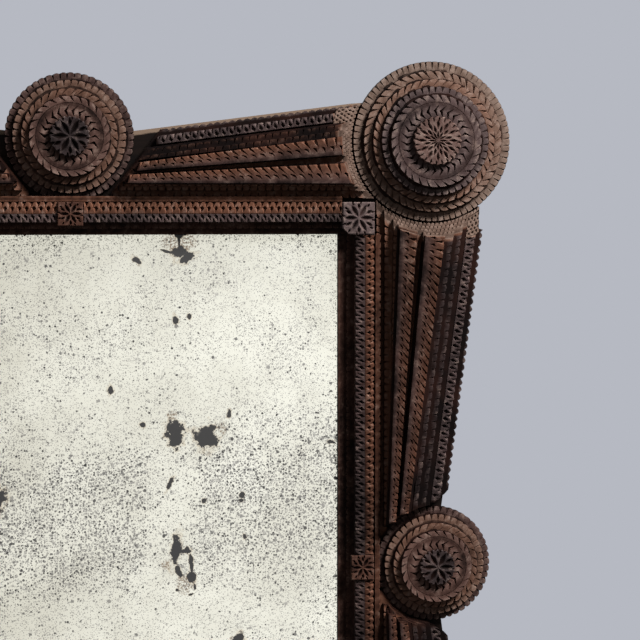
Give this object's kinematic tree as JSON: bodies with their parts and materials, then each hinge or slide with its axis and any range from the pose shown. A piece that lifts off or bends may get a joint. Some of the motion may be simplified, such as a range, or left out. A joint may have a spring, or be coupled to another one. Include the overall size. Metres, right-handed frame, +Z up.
{
  "type": "tramp-art wall mirror",
  "caption": "Wall mirror in a tramp-art frame: flared panels of stacked notch-carved layers between stepped rosettes, with a notched sight moulding and ring hangers behind.",
  "frame": {"origin": "centre of the back planks on the wall plane", "axes": "+X to the right as the front is seen, +Z up, front faces -Y and the wall is on the +Y side"},
  "size_m": [0.7148, 0.0433, 0.8238],
  "materials": {
    "base_wood": "dark stained softwood, dull",
    "panel_wood": "dark stained cigar-box wood, worn at the arrises",
    "rosette_wood": "dark stained cigar-box wood, dusty and worn",
    "moulding_wood": "dark stained cigar-box wood, reddish where worn",
    "peg_wood": "whittled, bare",
    "raw_wood": "bare rough-sawn softwood",
    "mirror": "old silvering, foxed",
    "iron": "dull iron"
  },
  "bodies": {
    "frame": {"top_rail": "base_wood", "bottom_rail": "base_wood", "left_stile": "base_wood", "right_stile": "base_wood", "mirror_glass": "mirror", "packing_panel": "raw_wood", "back_planks": "raw_wood", "back_nails": "iron", "sight_lip_top": "base_wood", "sight_lip_bottom": "base_wood", "sight_lip_left": "base_wood", "sight_lip_right": "base_wood", "moulding_top": "moulding_wood", "moulding_bottom": "moulding_wood", "moulding_left": "moulding_wood", "moulding_right": "moulding_wood", "corner_blocks": "moulding_wood", "middle_blocks": "moulding_wood", "top_right_plate": "panel_wood", "top_right_steps": "panel_wood", "top_right_ridges": "panel_wood", "top_left_plate": "panel_wood", "top_left_steps": "panel_wood", "top_left_ridges": "panel_wood", "bottom_right_plate": "panel_wood", "bottom_right_steps": "panel_wood", "bottom_right_ridges": "panel_wood", "bottom_left_plate": "panel_wood", "bottom_left_steps": "panel_wood", "bottom_left_ridges": "panel_wood", "right_upper_plate": "panel_wood", "right_upper_steps": "panel_wood", "right_upper_ridges": "panel_wood", "right_lower_plate": "panel_wood", "right_lower_steps": "panel_wood", "right_lower_ridges": "panel_wood", "left_upper_plate": "panel_wood", "left_upper_steps": "panel_wood", "left_upper_ridges": "panel_wood", "left_lower_plate": "panel_wood", "left_lower_steps": "panel_wood", "left_lower_ridges": "panel_wood", "corner_rosette_top_right": "rosette_wood", "corner_rosette_top_left": "rosette_wood", "corner_rosette_bottom_right": "rosette_wood", "corner_rosette_bottom_left": "rosette_wood", "middle_rosette_top": "rosette_wood", "middle_rosette_bottom": "rosette_wood", "middle_rosette_right": "rosette_wood", "middle_rosette_left": "rosette_wood", "rosette_pegs": "peg_wood", "hanger_strap_left": "iron", "hanger_strap_right": "iron", "hanger_screws": "iron"},
    "ring_left": {"hanger_ring_left": "iron"},
    "ring_right": {"hanger_ring_right": "iron"}
  },
  "joints": [
    {"name": "ring_left_swing", "type": "hinge", "parent": "frame", "child": "ring_left", "pos_m": [-0.2824, -0.0027, 0.15], "axis": [-1, 0, 0], "range_deg": [0, 150]},
    {"name": "ring_right_swing", "type": "hinge", "parent": "frame", "child": "ring_right", "pos_m": [0.2824, -0.0027, 0.15], "axis": [-1, 0, 0], "range_deg": [0, 150]}
  ]
}
